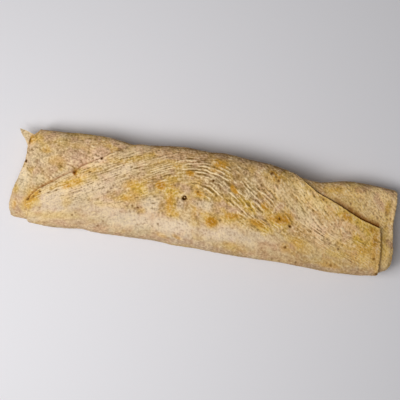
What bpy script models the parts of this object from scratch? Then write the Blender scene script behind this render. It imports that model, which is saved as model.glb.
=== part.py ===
"""A flatbread wrap: one round wholemeal flatbread, its two sides folded in and then rolled up.

Metres, +Z up. X runs along the roll, +Y is the side where the loose edge goes over the back, and the
wrap rests on its flat underside at z = 0. Every point of the surface has three numbers: its place
along the roll, its share of the way round the roll (0 and 1 under the middle, 0.25 at the back, 0.5
on top, 0.75 at the front) and its depth below the outermost turn.
"""

import bmesh
import bpy
import numpy as np

MM = 0.001

# The bread sheet.
SHEET = 1.6 * MM  # thickness of the flatbread
RIM_SHARE = 0.7  # thickness left at the loose edge, which is the rim of the round
RIM_REACH = 4.0 * MM  # width of the band that thins towards it
REST_LIFT = 0.55 * MM  # gap under the loose edge where it lies tight
FLAP_LIFT = 0.9 * MM  # gap under the loose edge where the right of it stands up
LIFT_REACH = 9.0 * MM  # width of the band that bends up towards the loose edge
SLIT = 3.4 * MM  # depth of the gap under the loose edge

# The rolled section, as shares of its half width and height.
FLAT_SHARE = 0.58  # half width of the flat underside
WAIST_SHARE = 0.42  # height of the widest level
TOP_POWER = 4.2  # 2 is an ellipse, more is squarer
HALF_WIDTH = 27.5 * MM  # the section whose girth sets the spacing
MIDDLE_HEIGHT = 28.0 * MM
END_HEIGHT = 18.5 * MM
TAPER_POWER = 3.0  # how late the height drops towards the ends
HALF_LENGTH = 110.0 * MM

# Plan outline of the outermost turn: (along, across) in millimetres, left to right.
BACK_EDGE = ((-110, 26.9), (-94, 27.9), (-80, 28.8), (-62, 28.5), (-52, 27.4), (-41, 26.4), (-30, 27.5),
             (-18, 28.7), (-8, 28.5), (4, 29.1), (16, 29.0), (30, 28.0), (43, 25.8), (52, 24.7),
             (61, 23.6), (68, 24.6), (77, 26.5), (92, 26.8), (110, 26.6))
FRONT_EDGE = ((-110, -27.9), (-98, -28.5), (-88, -29.0), (-78, -28.3), (-70, -27.5), (-64, -27.9),
              (-46, -26.8), (-28, -26.3), (-16, -27.2), (-4, -27.0), (20, -27.7), (60, -27.0),
              (76, -27.1), (90, -26.5), (104, -24.6), (110, -23.6))

# Plan outline of the ends: (across, along) in millimetres, front to back.
LEFT_END = ((-27, -108.6), (-23.4, -109.6), (-14.3, -109.0), (-7.1, -107.9), (7.1, -104.8),
            (21.0, -104.0), (26.0, -101.6))
RIGHT_END = ((-24, 108.0), (-20, 109.8), (-14, 110.0), (-4.3, 109.0), (2.9, 107.9), (12.8, 107.5),
             (20.0, 107.7), (26.0, 107.8))
LEFT_FOLD = ((-28, -98.4), (-22, -98.9), (-14.3, -100.5), (0, -100.5))
RIGHT_FOLD = ((-26, 103.9), (-22.2, 103.5), (-8.6, 102.3), (3.1, 100.3), (8, 100.1))

# The loose edge of the sheet: (along in millimetres, share of the way round).
LOOSE_EDGE = ((-100.5, 0.606), (-97.1, 0.574), (-87.9, 0.521), (-75.1, 0.465), (-62.2, 0.403),
              (-52.5, 0.345), (-36, 0.23), (-12, 0.175), (16, 0.168), (36, 0.217), (52, 0.331),
              (57.1, 0.352), (68.5, 0.397), (82.8, 0.45), (89.9, 0.469), (101.6, 0.494))

# The folded ends, turn inside turn: (depth into the roll, distance in from the end) in millimetres.
END_TURNS = ((0.0, 1.5), (0.35, 0.4), (1.4, 0.0), (2.7, 0.6), (3.2, 2.2), (3.7, 1.2), (4.8, 0.8),
             (5.8, 1.5), (6.1, 3.2))

# The outer turn's folded ends: (distance in from the fold in millimetres, share of the sheet left).
FOLD_STEPS = ((0.0, 0.0), (0.05, 0.55), (0.7, 0.9), (2.2, 1.0))

# Creases arch over the top: up from the left, round a wide bend, down to the right.
CREASE_RIDGE = -14.0 * MM  # place along the roll where they are highest
CREASE_ROUND = 18.0 * MM
CREASE_SLOPES = (0.45, 0.82)  # left of the bend and right of it
CREASE_RANGE = (4.0 * MM, 29.0 * MM)  # across the roll at the bend, first and last crease
CREASE_PITCH = 4.6 * MM
CREASE_DEPTH = 0.42 * MM
CREASE_REACH = 50.0 * MM  # how far along the roll they stay deep

# The torn ear of bread that stands out of the left end, in millimetres.
EAR = ((-98.0, 24.6), (-104.6, 24.3), (-111.4, 24.0), (-109.6, 21.0), (-107.2, 17.8), (-105.4, 14.4),
       (-98.0, 14.6))
EAR_BASE_LEVEL = 9.6 * MM
EAR_TIP_RISE = 1.6 * MM
EAR_THICKNESS = 1.3 * MM

# How finely the skin is divided.
TOP_LINES = (5, 21, 7)  # behind the creases, across them, and before them
FRONT_LINES = 6
UNDER_LINES = 3
BACK_LINES = 11
LENGTH_ROWS = 56
TABLE_STEPS = 600
LIP_POINTS = 5
FLOOR_POINTS = 2


def curve_through(points, at):
    """Smooth curve through a few (place, value) points, read at each place."""
    places, values = np.array(points, float).T
    slopes = np.gradient(values, places)
    at = np.clip(at, places[0], places[-1])
    i = np.clip(np.searchsorted(places, at) - 1, 0, len(places) - 2)
    span = places[i + 1] - places[i]
    u = (at - places[i]) / span
    return (
        values[i] * (1 + 2 * u) * (1 - u) ** 2
        + values[i + 1] * u * u * (3 - 2 * u)
        + span * slopes[i] * u * (1 - u) ** 2
        - span * slopes[i + 1] * u * u * (1 - u)
    )


def ease(share):
    """0 to 1 with a soft start and end."""
    share = np.clip(share, 0, 1)
    return share * share * (3 - 2 * share)


def section_table():
    """The unit section by share of its girth: shares, sideways -1 to 1, and height 0 to 1."""
    turn = (1 - np.cos(np.linspace(0, np.pi, TABLE_STEPS))) * np.pi / 4
    power = 2 / TOP_POWER
    corner_side = FLAT_SHARE + (1 - FLAT_SHARE) * np.sin(turn)
    corner_up = WAIST_SHARE * (1 - np.cos(turn))
    top_side = np.cos(turn) ** power
    top_up = WAIST_SHARE + (1 - WAIST_SHARE) * np.sin(turn) ** power
    side = np.concatenate([[0], corner_side, top_side[1:-1], [0]])
    up = np.concatenate([[0], corner_up, top_up[1:-1], [1]])
    side = np.concatenate([side, -side[-2::-1]])
    up = np.concatenate([up, up[-2::-1]])
    steps = np.hypot(np.diff(side) * HALF_WIDTH, np.diff(up) * MIDDLE_HEIGHT)
    walked = np.concatenate([[0], np.cumsum(steps)])
    return walked / walked[-1], side, up, walked[-1]


SHARES, SIDE, UP, GIRTH = section_table()
FLAT_END = FLAT_SHARE * HALF_WIDTH / GIRTH  # share of the girth where the flat underside stops
BACK_STEP, FRONT_STEP = SIDE.argmax(), SIDE.argmin() + 1  # the table's rows over the top
FRONT_SHARE = SHARES[FRONT_STEP - 1]  # share of the way round where the front is widest


def plan(along):
    """Middle and half width of the outermost turn, and its height, at a place along the roll."""
    back = curve_through(BACK_EDGE, along / MM) * MM
    front = curve_through(FRONT_EDGE, along / MM) * MM
    taper = 1 - np.abs(along / HALF_LENGTH) ** TAPER_POWER
    height = END_HEIGHT + (MIDDLE_HEIGHT - END_HEIGHT) * np.clip(taper, 0, 1)
    return (back + front) / 2, (back - front) / 2, height


def crease_fall(along):
    """How far a crease has come down from its ridge at a place along the roll."""
    away = along - CREASE_RIDGE
    slope = np.where(away < 0, *CREASE_SLOPES)
    return slope * (np.hypot(away, CREASE_ROUND) - CREASE_ROUND)


def creases(along, side):
    """Height of the creases, which run side by side over the top."""
    level = side + crease_fall(along)
    near, far = CREASE_RANGE
    inside = ease((level - near) / CREASE_PITCH) * ease((far - level) / CREASE_PITCH)
    reach = np.exp(-(((along - CREASE_RIDGE) / CREASE_REACH) ** 2))
    count = (level - near) / CREASE_PITCH
    wander = 0.2 * np.sin(along / (11 * MM) + count) + 0.1 * np.sin(along / (5 * MM) + 1)
    uneven = 0.75 + 0.25 * np.sin(along / (13 * MM) + 2.4 * count)
    return CREASE_DEPTH * inside * reach * uneven * np.cos(2 * np.pi * (count + wander))


def swells(along, share):
    """Soft rise and fall of the filled roll, none of it on the flat underside."""
    turn = 2 * np.pi * share
    shape = 0.5 * np.sin(along / (17 * MM) + 2 * turn) + 0.35 * np.sin(along / (8.5 * MM) - 3 * turn + 1)
    off_floor = ease((np.abs((share + 0.5) % 1 - 0.5) - FLAT_END) / 0.06)
    return MM * 0.7 * shape * off_floor


def lift(along):
    """Gap under the loose edge: it stands up on the right."""
    return REST_LIFT + (FLAP_LIFT - REST_LIFT) * ease((along - 44 * MM) / (14 * MM))


def creased_shares(along):
    """Shares round the roll between which the creases lie, from the back one to the front one."""
    middle, half, _ = plan(along)
    side = (np.array(CREASE_RANGE[::-1]) - crease_fall(along) - middle) / half
    return np.interp(np.clip(-side, -1, 1), -SIDE[BACK_STEP:FRONT_STEP], SHARES[BACK_STEP:FRONT_STEP])


def loop_shares(along, edge, covered):
    """Shares round the roll of one row of points.

    A covered row starts inside the gap under the loose edge, comes out round the edge, goes over the
    top, down the front and under the roll, and ends under the loose edge again. A row past the ends
    of the outer turn has the same points spread over the plain surface.
    """
    if covered:
        lip = edge + np.array([SLIT, SLIT / 2, 0.25 * MM, 0, 0.5 * MM]) / GIRTH
        floor = edge + 1 + np.array([SLIT / 3, SLIT]) / GIRTH
    else:
        lip = edge + np.array([-0.3, 0.3, 0.9, 1.5, 2.1]) * MM / GIRTH
        floor = edge + 1 + np.array([-0.9, -0.3]) * MM / GIRTH
    start, front, under = edge + 3.0 * MM / GIRTH, FRONT_SHARE, 1 - FLAT_END
    top = front - start
    creased = start + top * np.clip((creased_shares(along) - start) / top, (0.08, 0.5), (0.5, 0.88))
    stops = [start, *creased, front, under, 1 + FLAT_END]
    counts = [*TOP_LINES, FRONT_LINES, UNDER_LINES]
    shares = [np.linspace(a, b, count, endpoint=False) for a, b, count in zip(stops, stops[1:], counts)]
    foot = edge + 1 - 1.5 * MM / GIRTH
    shares.append(np.linspace(1 + FLAT_END, foot, BACK_LINES))
    return np.concatenate([lip, *shares, floor])


def mix(first, second, share):
    return first + (second - first) * share


def line_at(line, side, inset=0.0):
    """Place along the roll of an end's outline, a little way in from it, for points at a distance across."""
    inwards = inset if line in (LEFT_END, LEFT_FOLD) else -inset
    return curve_through(line, side / MM) * MM + inwards


def row(along, line, cover, inside=0.0):
    """One row of points round the roll.

    along is the row's place on the roll, line gives each point's own place from its distance across,
    cover is the share of its thickness that the outer turn has here (0 past its folded ends), and
    inside is how deep in the inner turn the row lies.
    """
    edge = curve_through(LOOSE_EDGE, along / MM)
    share = loop_shares(along, edge, cover > 0)
    past_edge = (share - edge) * GIRTH
    gap = lift(along) * ease(cover)
    behind = min(0.2, edge - 0.012)
    outer = 1 - ease((share - 1 - FLAT_END) / (behind - FLAT_END))
    thick = cover * outer * mix(RIM_SHARE, 1, ease(past_edge / RIM_REACH))
    down = SHEET * (1 - thick) - gap * np.clip(1 - past_edge / LIFT_REACH, 0, 1) ** 2
    down[:LIP_POINTS] = SHEET - np.array([0, 0.55, 1, 1, 1]) * gap
    down[:LIP_POINTS] -= np.array([0, 0, 0, 0.5, 0.93]) * SHEET * RIM_SHARE * cover
    down[-FLOOR_POINTS:] = SHEET
    sideways = np.interp(share % 1, SHARES, SIDE)
    upwards = np.interp(share % 1, SHARES, UP)
    middle, half, height = plan(along)
    side = middle + half * sideways
    spot = line(side)
    on_top = ease((upwards - WAIST_SHARE) / (1 - WAIST_SHARE) * 2)
    down = down - cover * on_top * creases(spot, side) - swells(spot, share) * (inside == 0)
    down = down + inside
    return np.stack([spot, middle + (half - down) * sideways, down + (height - 2 * down) * upwards], axis=-1)


def end_rows(end, fold):
    """Rows from the middle of an end out to the start of the outer turn's full thickness."""
    at_end = line_at(end, 0.0)
    at_fold = line_at(fold, 10 * MM)
    rows = []
    for inside, inset in reversed(END_TURNS):
        rows.append(row(at_end, lambda side: line_at(end, side, inset * MM), 0.0, inside * MM))
    strip_start = END_TURNS[0][1] * MM
    for share in (0.4, 0.8):
        rows.append(row(
            mix(at_end, at_fold, share),
            lambda side: mix(line_at(end, side, strip_start), line_at(fold, side), share),
            0.0,
        ))
    for inset, cover in FOLD_STEPS:
        rows.append(row(at_fold, lambda side: line_at(fold, side, inset * MM), cover))
    return rows


def all_rows():
    left = end_rows(LEFT_END, LEFT_FOLD)
    right = end_rows(RIGHT_END, RIGHT_FOLD)
    inset = FOLD_STEPS[-1][0] * MM
    left_start, right_start = line_at(LEFT_FOLD, 10 * MM, inset), line_at(RIGHT_FOLD, 10 * MM, inset)
    middle = []
    for share in np.linspace(0, 1, LENGTH_ROWS + 1)[1:-1]:
        middle.append(row(
            mix(left_start, right_start, share),
            lambda side: mix(line_at(LEFT_FOLD, side, inset), line_at(RIGHT_FOLD, side, inset), share),
            1.0,
        ))
    return np.array(left + middle + right[::-1])


def bread_material():
    material = bpy.data.materials.new("wholemeal_flatbread")
    material.use_nodes = True
    shader = material.node_tree.nodes["Principled BSDF"]
    shader.inputs["Base Color"].default_value = (0.53, 0.36, 0.17, 1)
    shader.inputs["Roughness"].default_value = 0.8
    shader.inputs["Metallic"].default_value = 0.0
    return material


def add_object(name, bm):
    mesh = bpy.data.meshes.new(name)
    bmesh.ops.recalc_face_normals(bm, faces=bm.faces)
    bm.to_mesh(mesh)
    bm.free()
    piece = bpy.data.objects.new(name, mesh)
    bpy.context.scene.collection.objects.link(piece)
    return piece


def footprint_middle(points):
    """The middle of the roll's footprint, which becomes the origin."""
    low, high = points.min(axis=(0, 1)), points.max(axis=(0, 1))
    return np.array([low[0] + high[0], low[1] + high[1], 0]) / 2


def make_roll(points):
    """The rolled sheet: a flat grid wrapped round, its seam joined and its two ends closed."""
    rows, around, _ = points.shape
    bm = bmesh.new()
    bmesh.ops.create_grid(bm, x_segments=around - 1, y_segments=rows - 1, size=1)
    for vert in bm.verts:
        i = round((vert.co.x + 1) / 2 * (around - 1))
        j = round((vert.co.y + 1) / 2 * (rows - 1))
        vert.co = points[j, i]
    bmesh.ops.remove_doubles(bm, verts=bm.verts, dist=SHEET / 1000)
    open_edges = [edge for edge in bm.edges if edge.is_boundary]
    bmesh.ops.holes_fill(bm, edges=open_edges)
    return add_object("flatbread_wrap", bm)


def make_ear(middle):
    """The ear, a thin torn corner of the folded side, curling up to its tip."""
    bm = bmesh.new()
    tip = min(EAR)[0]
    root = max(EAR)[0]
    outline = []
    for x, y in EAR:
        rise = EAR_TIP_RISE * ((root - x) / (root - tip)) ** 2
        outline.append(bm.verts.new(np.array([x * MM, y * MM, EAR_BASE_LEVEL + rise]) - middle))
    face = bm.faces.new(outline)
    thick = bmesh.ops.extrude_face_region(bm, geom=[face])
    raised = [item for item in thick["geom"] if isinstance(item, bmesh.types.BMVert)]
    bmesh.ops.translate(bm, verts=raised, vec=(0, 0, EAR_THICKNESS))
    bmesh.ops.triangulate(bm, faces=bm.faces)
    return add_object("ear", bm)


def main():
    for old in list(bpy.data.objects):
        bpy.data.objects.remove(old)
    points = all_rows()
    middle = footprint_middle(points)
    roll = make_roll(points - middle)
    ear = make_ear(middle)
    ear.hide_render = True
    ear.display_type = "WIRE"
    join = roll.modifiers.new("ear", "BOOLEAN")
    join.operation = "UNION"
    join.object = ear
    roll.data.materials.append(bread_material())
    roll.data.shade_smooth()
    roll.data.set_sharp_from_angle(angle=0.7)


main()
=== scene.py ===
import bmesh
import bpy
import numpy as np
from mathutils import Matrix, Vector, noise


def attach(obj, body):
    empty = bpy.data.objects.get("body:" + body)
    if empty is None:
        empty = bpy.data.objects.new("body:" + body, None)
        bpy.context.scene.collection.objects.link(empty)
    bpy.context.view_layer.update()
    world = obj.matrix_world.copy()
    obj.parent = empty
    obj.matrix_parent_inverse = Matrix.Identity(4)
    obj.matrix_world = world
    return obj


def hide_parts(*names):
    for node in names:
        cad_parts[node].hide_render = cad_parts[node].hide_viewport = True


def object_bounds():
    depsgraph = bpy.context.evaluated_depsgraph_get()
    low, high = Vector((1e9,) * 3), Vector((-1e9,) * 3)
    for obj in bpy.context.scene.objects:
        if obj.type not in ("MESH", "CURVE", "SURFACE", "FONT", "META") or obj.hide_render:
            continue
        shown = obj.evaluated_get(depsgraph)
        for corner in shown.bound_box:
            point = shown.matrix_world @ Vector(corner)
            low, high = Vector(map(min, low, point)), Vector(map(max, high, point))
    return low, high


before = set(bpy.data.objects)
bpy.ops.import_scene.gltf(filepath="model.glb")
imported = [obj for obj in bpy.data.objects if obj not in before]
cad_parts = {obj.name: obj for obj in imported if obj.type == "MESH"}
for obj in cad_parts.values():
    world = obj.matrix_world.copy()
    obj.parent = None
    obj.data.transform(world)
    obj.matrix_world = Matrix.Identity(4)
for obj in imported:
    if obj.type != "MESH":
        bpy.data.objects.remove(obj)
cad_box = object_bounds()


# ---- The rolled flatbread ----
# One round wholemeal flatbread, 1.6 mm thick, dry-baked on a hot plate. Its two sides are folded in
# over the filling and the round is rolled up, so each end is a stack of folds and the loose edge is
# a piece of the round's own rim. It holds its shape by its own weight and needs no fastening.
MM = 0.001
SHEET = 1.6 * MM
RIM_SHARE = 0.7  # thickness left at the loose edge, which is the rim of the round
RIM_REACH = 4.0 * MM  # width of the band that thins towards it
REST_LIFT = 0.55 * MM  # gap under the loose edge where it lies tight
FLAP_LIFT = 0.9 * MM  # gap under the loose edge where the right of it stands up
LIFT_REACH = 9.0 * MM  # width of the band that bends up towards the loose edge
FLAP_FROM, FLAP_OVER = 44, 14  # millimetres along: where it starts to stand up, and over what length
PLY_END = 0.2  # share of the way round, low on the back, where the outer turn's own thickness ends
SLIT = 3.4 * MM  # depth of the gap under the loose edge
FLAT_SHARE = 0.58  # half width of the flat underside
WAIST_SHARE = 0.42  # height of the widest level
TOP_POWER = 4.2  # 2 is an ellipse, more is squarer
HALF_WIDTH = 27.5 * MM
MIDDLE_HEIGHT = 28.0 * MM
END_HEIGHT = 18.5 * MM
TAPER_POWER = 3.0
HALF_LENGTH = 110.0 * MM

# Outlines seen from above, in millimetres: (along, across) for the long sides, and (across, along)
# for the ends and for the folds that end the outer turn.
BACK_EDGE = ((-110, 26.9), (-94, 27.9), (-80, 28.7), (-62, 28.0), (-52, 26.8), (-41, 26.2), (-30, 27.5),
             (-18, 28.4), (-8, 28.0), (4, 29.1), (16, 28.7), (30, 27.6), (43, 25.1), (52, 23.9),
             (61, 23.2), (68, 24.5), (77, 26.5), (92, 26.5), (110, 26.0))
FRONT_EDGE = ((-110, -27.9), (-98, -28.5), (-88, -29.0), (-78, -28.3), (-70, -27.5), (-64, -27.9),
              (-46, -26.8), (-28, -26.3), (-16, -27.2), (-4, -27.0), (20, -27.7), (60, -27.0),
              (76, -27.1), (90, -26.5), (104, -24.6), (110, -23.6))
LEFT_END = ((-27, -108.6), (-23.4, -109.6), (-14.3, -109.0), (-7.1, -107.9), (7.1, -104.8),
            (20.0, -104.2), (22.5, -103.2), (25.0, -101.0), (28.0, -99.8))
RIGHT_END = ((-24, 108.0), (-20, 109.8), (-14, 110.0), (-4.3, 109.0), (2.9, 107.9), (12.8, 107.5),
             (20.0, 107.7), (26.0, 107.8))
LEFT_FOLD = ((-28, -98.4), (-22, -98.9), (-14.3, -100.5), (0, -100.5), (17, -100.2), (22.5, -97.4),
             (28, -94.6))
RIGHT_FOLD = ((-26, 103.9), (-22.2, 103.5), (-8.6, 102.3), (3.1, 100.3), (8, 100.1))

# The loose edge: (along in millimetres, share of the way round: 0 under the middle, 0.5 on top).
LOOSE_EDGE = ((-100.5, 0.606), (-97.1, 0.574), (-87.9, 0.521), (-75.1, 0.465), (-62.2, 0.403),
              (-52.5, 0.345), (-36, 0.23), (-12, 0.175), (16, 0.168), (36, 0.217), (52, 0.331),
              (57.1, 0.352), (68.5, 0.397), (82.8, 0.45), (89.9, 0.469), (95.5, 0.4805), (98.0, 0.4852),
              (99.0, 0.4885), (99.8, 0.4955), (100.6, 0.504))

EDGE_WAVER = ((0.45, 9.0, 0.3), (0.22, 2.6, 5))  # (height, length) in millimetres, and seed
NICK = (-75.4, 1.3, 0.9)  # burnt nick in the loose edge: along, depth and half length in millimetres

# The folded ends, turn inside turn: (depth into the roll, distance in from the end) in millimetres.
END_TURNS = ((0.0, 1.5), (0.35, 0.4), (1.4, 0.0), (2.7, 0.6), (3.2, 2.4), (3.7, 1.2), (4.8, 0.8),
             (5.8, 1.5), (6.1, 3.6), (6.5, 2.6), (7.4, 2.2), (8.1, 3.0), (8.5, 5.0))
END_RINGS = 36
END_WAVE = 0.35 * MM  # how unevenly the folds stick out

# The outer turn's folded ends: (distance in from the fold in millimetres, share of the sheet left).
FOLD_STEPS = ((0.55, 0.0), (0.2, 0.1), (0.0, 0.3), (0.0, 0.5), (0.12, 0.7), (0.4, 0.87), (0.9, 0.96),
              (1.6, 1.0))
FOLD_MIDDLE = 10 * MM  # across the roll, where the folds' rows are taken to be


def curve_through(points, at):
    """Smooth curve through a few (place, value) points, read at each place."""
    places, values = np.array(points, float).T
    slopes = np.gradient(values, places)
    at = np.clip(at, places[0], places[-1])
    i = np.clip(np.searchsorted(places, at) - 1, 0, len(places) - 2)
    span = places[i + 1] - places[i]
    u = (at - places[i]) / span
    return (
        values[i] * (1 + 2 * u) * (1 - u) ** 2
        + values[i + 1] * u * u * (3 - 2 * u)
        + span * slopes[i] * u * (1 - u) ** 2
        - span * slopes[i + 1] * u * u * (1 - u)
    )


def ease(share):
    """0 to 1 with a soft start and end."""
    share = np.clip(share, 0, 1)
    return share * share * (3 - 2 * share)


def mix(first, second, share):
    return first + (second - first) * share


def step(value, start, reach):
    """0 up to start and 1 from start + reach on, in millimetres; a negative reach goes the other way."""
    return ease((value / MM - start) / reach)


def rough(points, size, seed=0.0, octaves=1):
    """Smooth seeded noise, about -1 to 1, at each point; size is the width of its lumps."""
    flat = (points / size).reshape(-1, 3) + seed
    if octaves == 1:
        values = [noise.noise(p) for p in flat.tolist()]
    else:
        values = [noise.fractal(p, 0.6, 2.0, octaves) for p in flat.tolist()]
    return np.array(values).reshape(points.shape[:-1]) * 1.6


def section_table(steps=4000):
    """The unit section by share of its girth, from under the middle up the back and over the top."""
    turn = (1 - np.cos(np.linspace(0, np.pi, steps))) * np.pi / 4
    power = 2 / TOP_POWER
    top_side = np.cos(turn) ** power
    top_up = WAIST_SHARE + (1 - WAIST_SHARE) * np.sin(turn) ** power
    side = np.concatenate([[0], FLAT_SHARE + (1 - FLAT_SHARE) * np.sin(turn), top_side[1:-1], [0]])
    up = np.concatenate([[0], WAIST_SHARE * (1 - np.cos(turn)), top_up[1:-1], [1]])
    side = np.concatenate([side, -side[-2::-1]])
    up = np.concatenate([up, up[-2::-1]])
    walked = np.cumsum(np.hypot(np.diff(side) * HALF_WIDTH, np.diff(up) * MIDDLE_HEIGHT))
    walked = np.concatenate([[0], walked])
    return walked / walked[-1], side, up, walked[-1]


SHARES, SIDE, UP, GIRTH = section_table()
FLAT_END = FLAT_SHARE * HALF_WIDTH / GIRTH
FRONT_SHARE = SHARES[SIDE.argmin()]  # share of the way round where the front is widest


def plan(along):
    """Middle and half width of the outermost turn, and its height, at a place along the roll."""
    back = curve_through(BACK_EDGE, along / MM) * MM
    front = curve_through(FRONT_EDGE, along / MM) * MM
    taper = 1 - np.abs(along / HALF_LENGTH) ** TAPER_POWER
    height = END_HEIGHT + (MIDDLE_HEIGHT - END_HEIGHT) * np.clip(taper, 0, 1)
    return (back + front) / 2, (back - front) / 2, height


def line_at(line, side, inset=0.0):
    """Place along the roll of an end's outline, a little way in from it."""
    inwards = inset if line in (LEFT_END, LEFT_FOLD) else -inset
    return curve_through(line, side / MM) * MM + inwards


def lift(along):
    """Gap under the loose edge: it lies tight on the left and stands up on the right."""
    return mix(REST_LIFT, FLAP_LIFT, step(along, FLAP_FROM, FLAP_OVER))


def loose_edge(along):
    """Share of the way round of the loose edge, which wavers like any rim of a rolled-out round."""
    waver = sum(
        height * noise.noise((along / (length * MM), seed, 0)) for height, length, seed in EDGE_WAVER
    )
    x, depth, half = NICK
    waver += depth * ease(1.3 - abs(along / MM - x) / half)
    return curve_through(LOOSE_EDGE, along / MM) + waver * MM / GIRTH


# The points of one row go from the gap under the loose edge out round that edge, over the top, down
# the front, under the roll and up the back to the same gap. Each lip point is (distance in from the
# loose edge, share of the lift, share of the sheet's thickness). The floor's points are distances in
# from the loose edge too, on the turn below it.
LIP = ((SLIT, 0, 0), (SLIT * 0.7, 0.35, 0), (SLIT * 0.4, 0.7, 0), (0.4 * MM, 1, 0), (0.1 * MM, 1, 0.1),
       (0, 1, 0.3), (0, 1, 0.55), (0.08 * MM, 1, 0.78), (0.3 * MM, 1, 0.94))
FLOOR = (0.2 * MM, SLIT * 0.35, SLIT * 0.65, SLIT)
EDGE_BAND = (0.6 * MM, 1.8 * MM)  # just past the lip, where three more points round the edge off
LAST_GAP = 0.8 * MM  # from the last point of the back to the loose edge
TOP_LINES, FRONT_LINES, UNDER_LINES, BACK_LINES = 130, 20, 8, 72
LENGTH_ROWS = 300
STRIP_ROWS = 10


def loop_shares(edge, covered):
    """Shares round the roll of one row; a row past the outer turn's ends has them spread evenly."""
    near, far = EDGE_BAND
    start, under = edge + far / GIRTH, 1 - FLAT_END
    if covered:
        lip = edge + np.array([across for across, _, _ in LIP]) / GIRTH
        first = edge + np.linspace(near, far, 3, endpoint=False) / GIRTH
        floor = edge + 1 + np.array(FLOOR) / GIRTH
    else:
        even = np.linspace(-near, far, len(LIP) + len(FLOOR) + 2, endpoint=False) / GIRTH
        floor = edge + 1 + even[:len(FLOOR)]
        lip = edge + even[len(FLOOR) - 1:-3]
        first = edge + even[-3:]
    lines = [
        first,
        np.linspace(start, FRONT_SHARE, TOP_LINES, endpoint=False),
        np.linspace(FRONT_SHARE, under, FRONT_LINES, endpoint=False),
        np.linspace(under, 1 + FLAT_END, UNDER_LINES, endpoint=False),
        np.linspace(1 + FLAT_END, edge + 1 - LAST_GAP / GIRTH, BACK_LINES),
    ]
    return np.concatenate([lip, *lines, floor])


# Creases arch over the top: up from the left, round a wide bend, down to the right.
CREASE_RIDGE = -14.0 * MM  # place along the roll where they are highest
CREASE_ROUND = 18.0 * MM
CREASE_SLOPES = (0.45, 0.82)  # left of the bend and right of it
CREASE_RANGE = (4.0 * MM, 29.0 * MM)  # across the roll at the bend, first and last crease
CREASE_PITCH = 4.6 * MM
CREASE_DEPTH = 0.16 * MM
CREASE_REACH = 50.0 * MM


def crease_fall(along):
    """How far a crease has come down from its bend at a place along the roll."""
    away = along - CREASE_RIDGE
    slope = np.where(away < 0, *CREASE_SLOPES)
    return slope * (np.hypot(away, CREASE_ROUND) - CREASE_ROUND)


def creases(along, side):
    """Height of the broad creases, which run side by side over the top."""
    level = side + crease_fall(along)
    near, far = CREASE_RANGE
    inside = ease((level - near) / CREASE_PITCH) * ease((far - level) / CREASE_PITCH)
    reach = np.exp(-(((along - CREASE_RIDGE) / CREASE_REACH) ** 2))
    count = (level - near) / CREASE_PITCH
    wander = 0.2 * np.sin(along / (11 * MM) + count) + 0.1 * np.sin(along / (5 * MM) + 1)
    uneven = 0.75 + 0.25 * np.sin(along / (13 * MM) + 2.4 * count)
    return CREASE_DEPTH * inside * reach * uneven * np.cos(2 * np.pi * (count + wander))


# The long swells of the filled roll, and the short ones.
SWELL_HEIGHTS = (0.35 * MM, 0.245 * MM)
SWELL_LENGTHS = (17.0 * MM, 8.5 * MM)


def swells(along, share):
    """Soft rise and fall of the filled roll, none of it on the flat underside."""
    turn = 2 * np.pi * share
    waves = np.sin(along / SWELL_LENGTHS[0] + 2 * turn), np.sin(along / SWELL_LENGTHS[1] - 3 * turn + 1)
    off_floor = ease((np.abs((share + 0.5) % 1 - 0.5) - FLAT_END) / 0.06)
    return (SWELL_HEIGHTS[0] * waves[0] + SWELL_HEIGHTS[1] * waves[1]) * off_floor


def row(along, line, cover, inside=0.0, plain_line=None):
    """Points, shares and loose edge of one row round the roll.

    along is the row's place on the roll, line gives each point's own place from its distance across,
    cover is the share of its thickness that the outer turn has here (0 past its folded ends), and
    inside is how deep in the folded end the row lies.
    """
    edge = loose_edge(along)
    share = loop_shares(edge, cover > 0)
    past_edge = (share - edge) * GIRTH
    gap = lift(along) * ease(2 * cover)
    outer_end = min(PLY_END, edge - 0.012)
    outer = 1 - ease((share - 1 - FLAT_END) / (outer_end - FLAT_END))
    thick = cover * outer * mix(RIM_SHARE, 1, ease(past_edge / RIM_REACH))
    down = SHEET * (1 - thick) - gap * np.clip(1 - past_edge / LIFT_REACH, 0, 1) ** 2
    if cover > 0:
        _, raised, thick = np.array(LIP).T
        down[:len(LIP)] = SHEET - raised * gap - thick * SHEET * RIM_SHARE * cover
    down[-len(FLOOR):] = SHEET
    sideways = np.interp(share % 1, SHARES, SIDE)
    upwards = np.interp(share % 1, SHARES, UP)
    middle, half, height = plan(along)
    side = middle + half * sideways
    spot = line(side)
    if plain_line:
        covered = step(past_edge, -0.4, 0.8) * (share < 1 + FLAT_END)
        spot = mix(plain_line(side), spot, covered)
    on_top = ease((upwards - WAIST_SHARE) / (1 - WAIST_SHARE) * 2)
    down = down - cover * on_top * creases(spot, side) - swells(spot, share) * (inside == 0)
    down = down + inside
    if inside > 0:
        turn, depth = 2 * np.pi * share, along / (20 * MM) + inside / (4 * MM)
        ripple = np.stack([3 * np.cos(turn), 3 * np.sin(turn), np.full(len(share), depth)], axis=-1)
        spot = spot + END_WAVE * rough(ripple, 1.0) * ease(inside / MM)
    points = np.stack([spot, middle + (half - down) * sideways, down + (height - 2 * down) * upwards],
                      axis=-1)
    return points, share, edge


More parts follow.
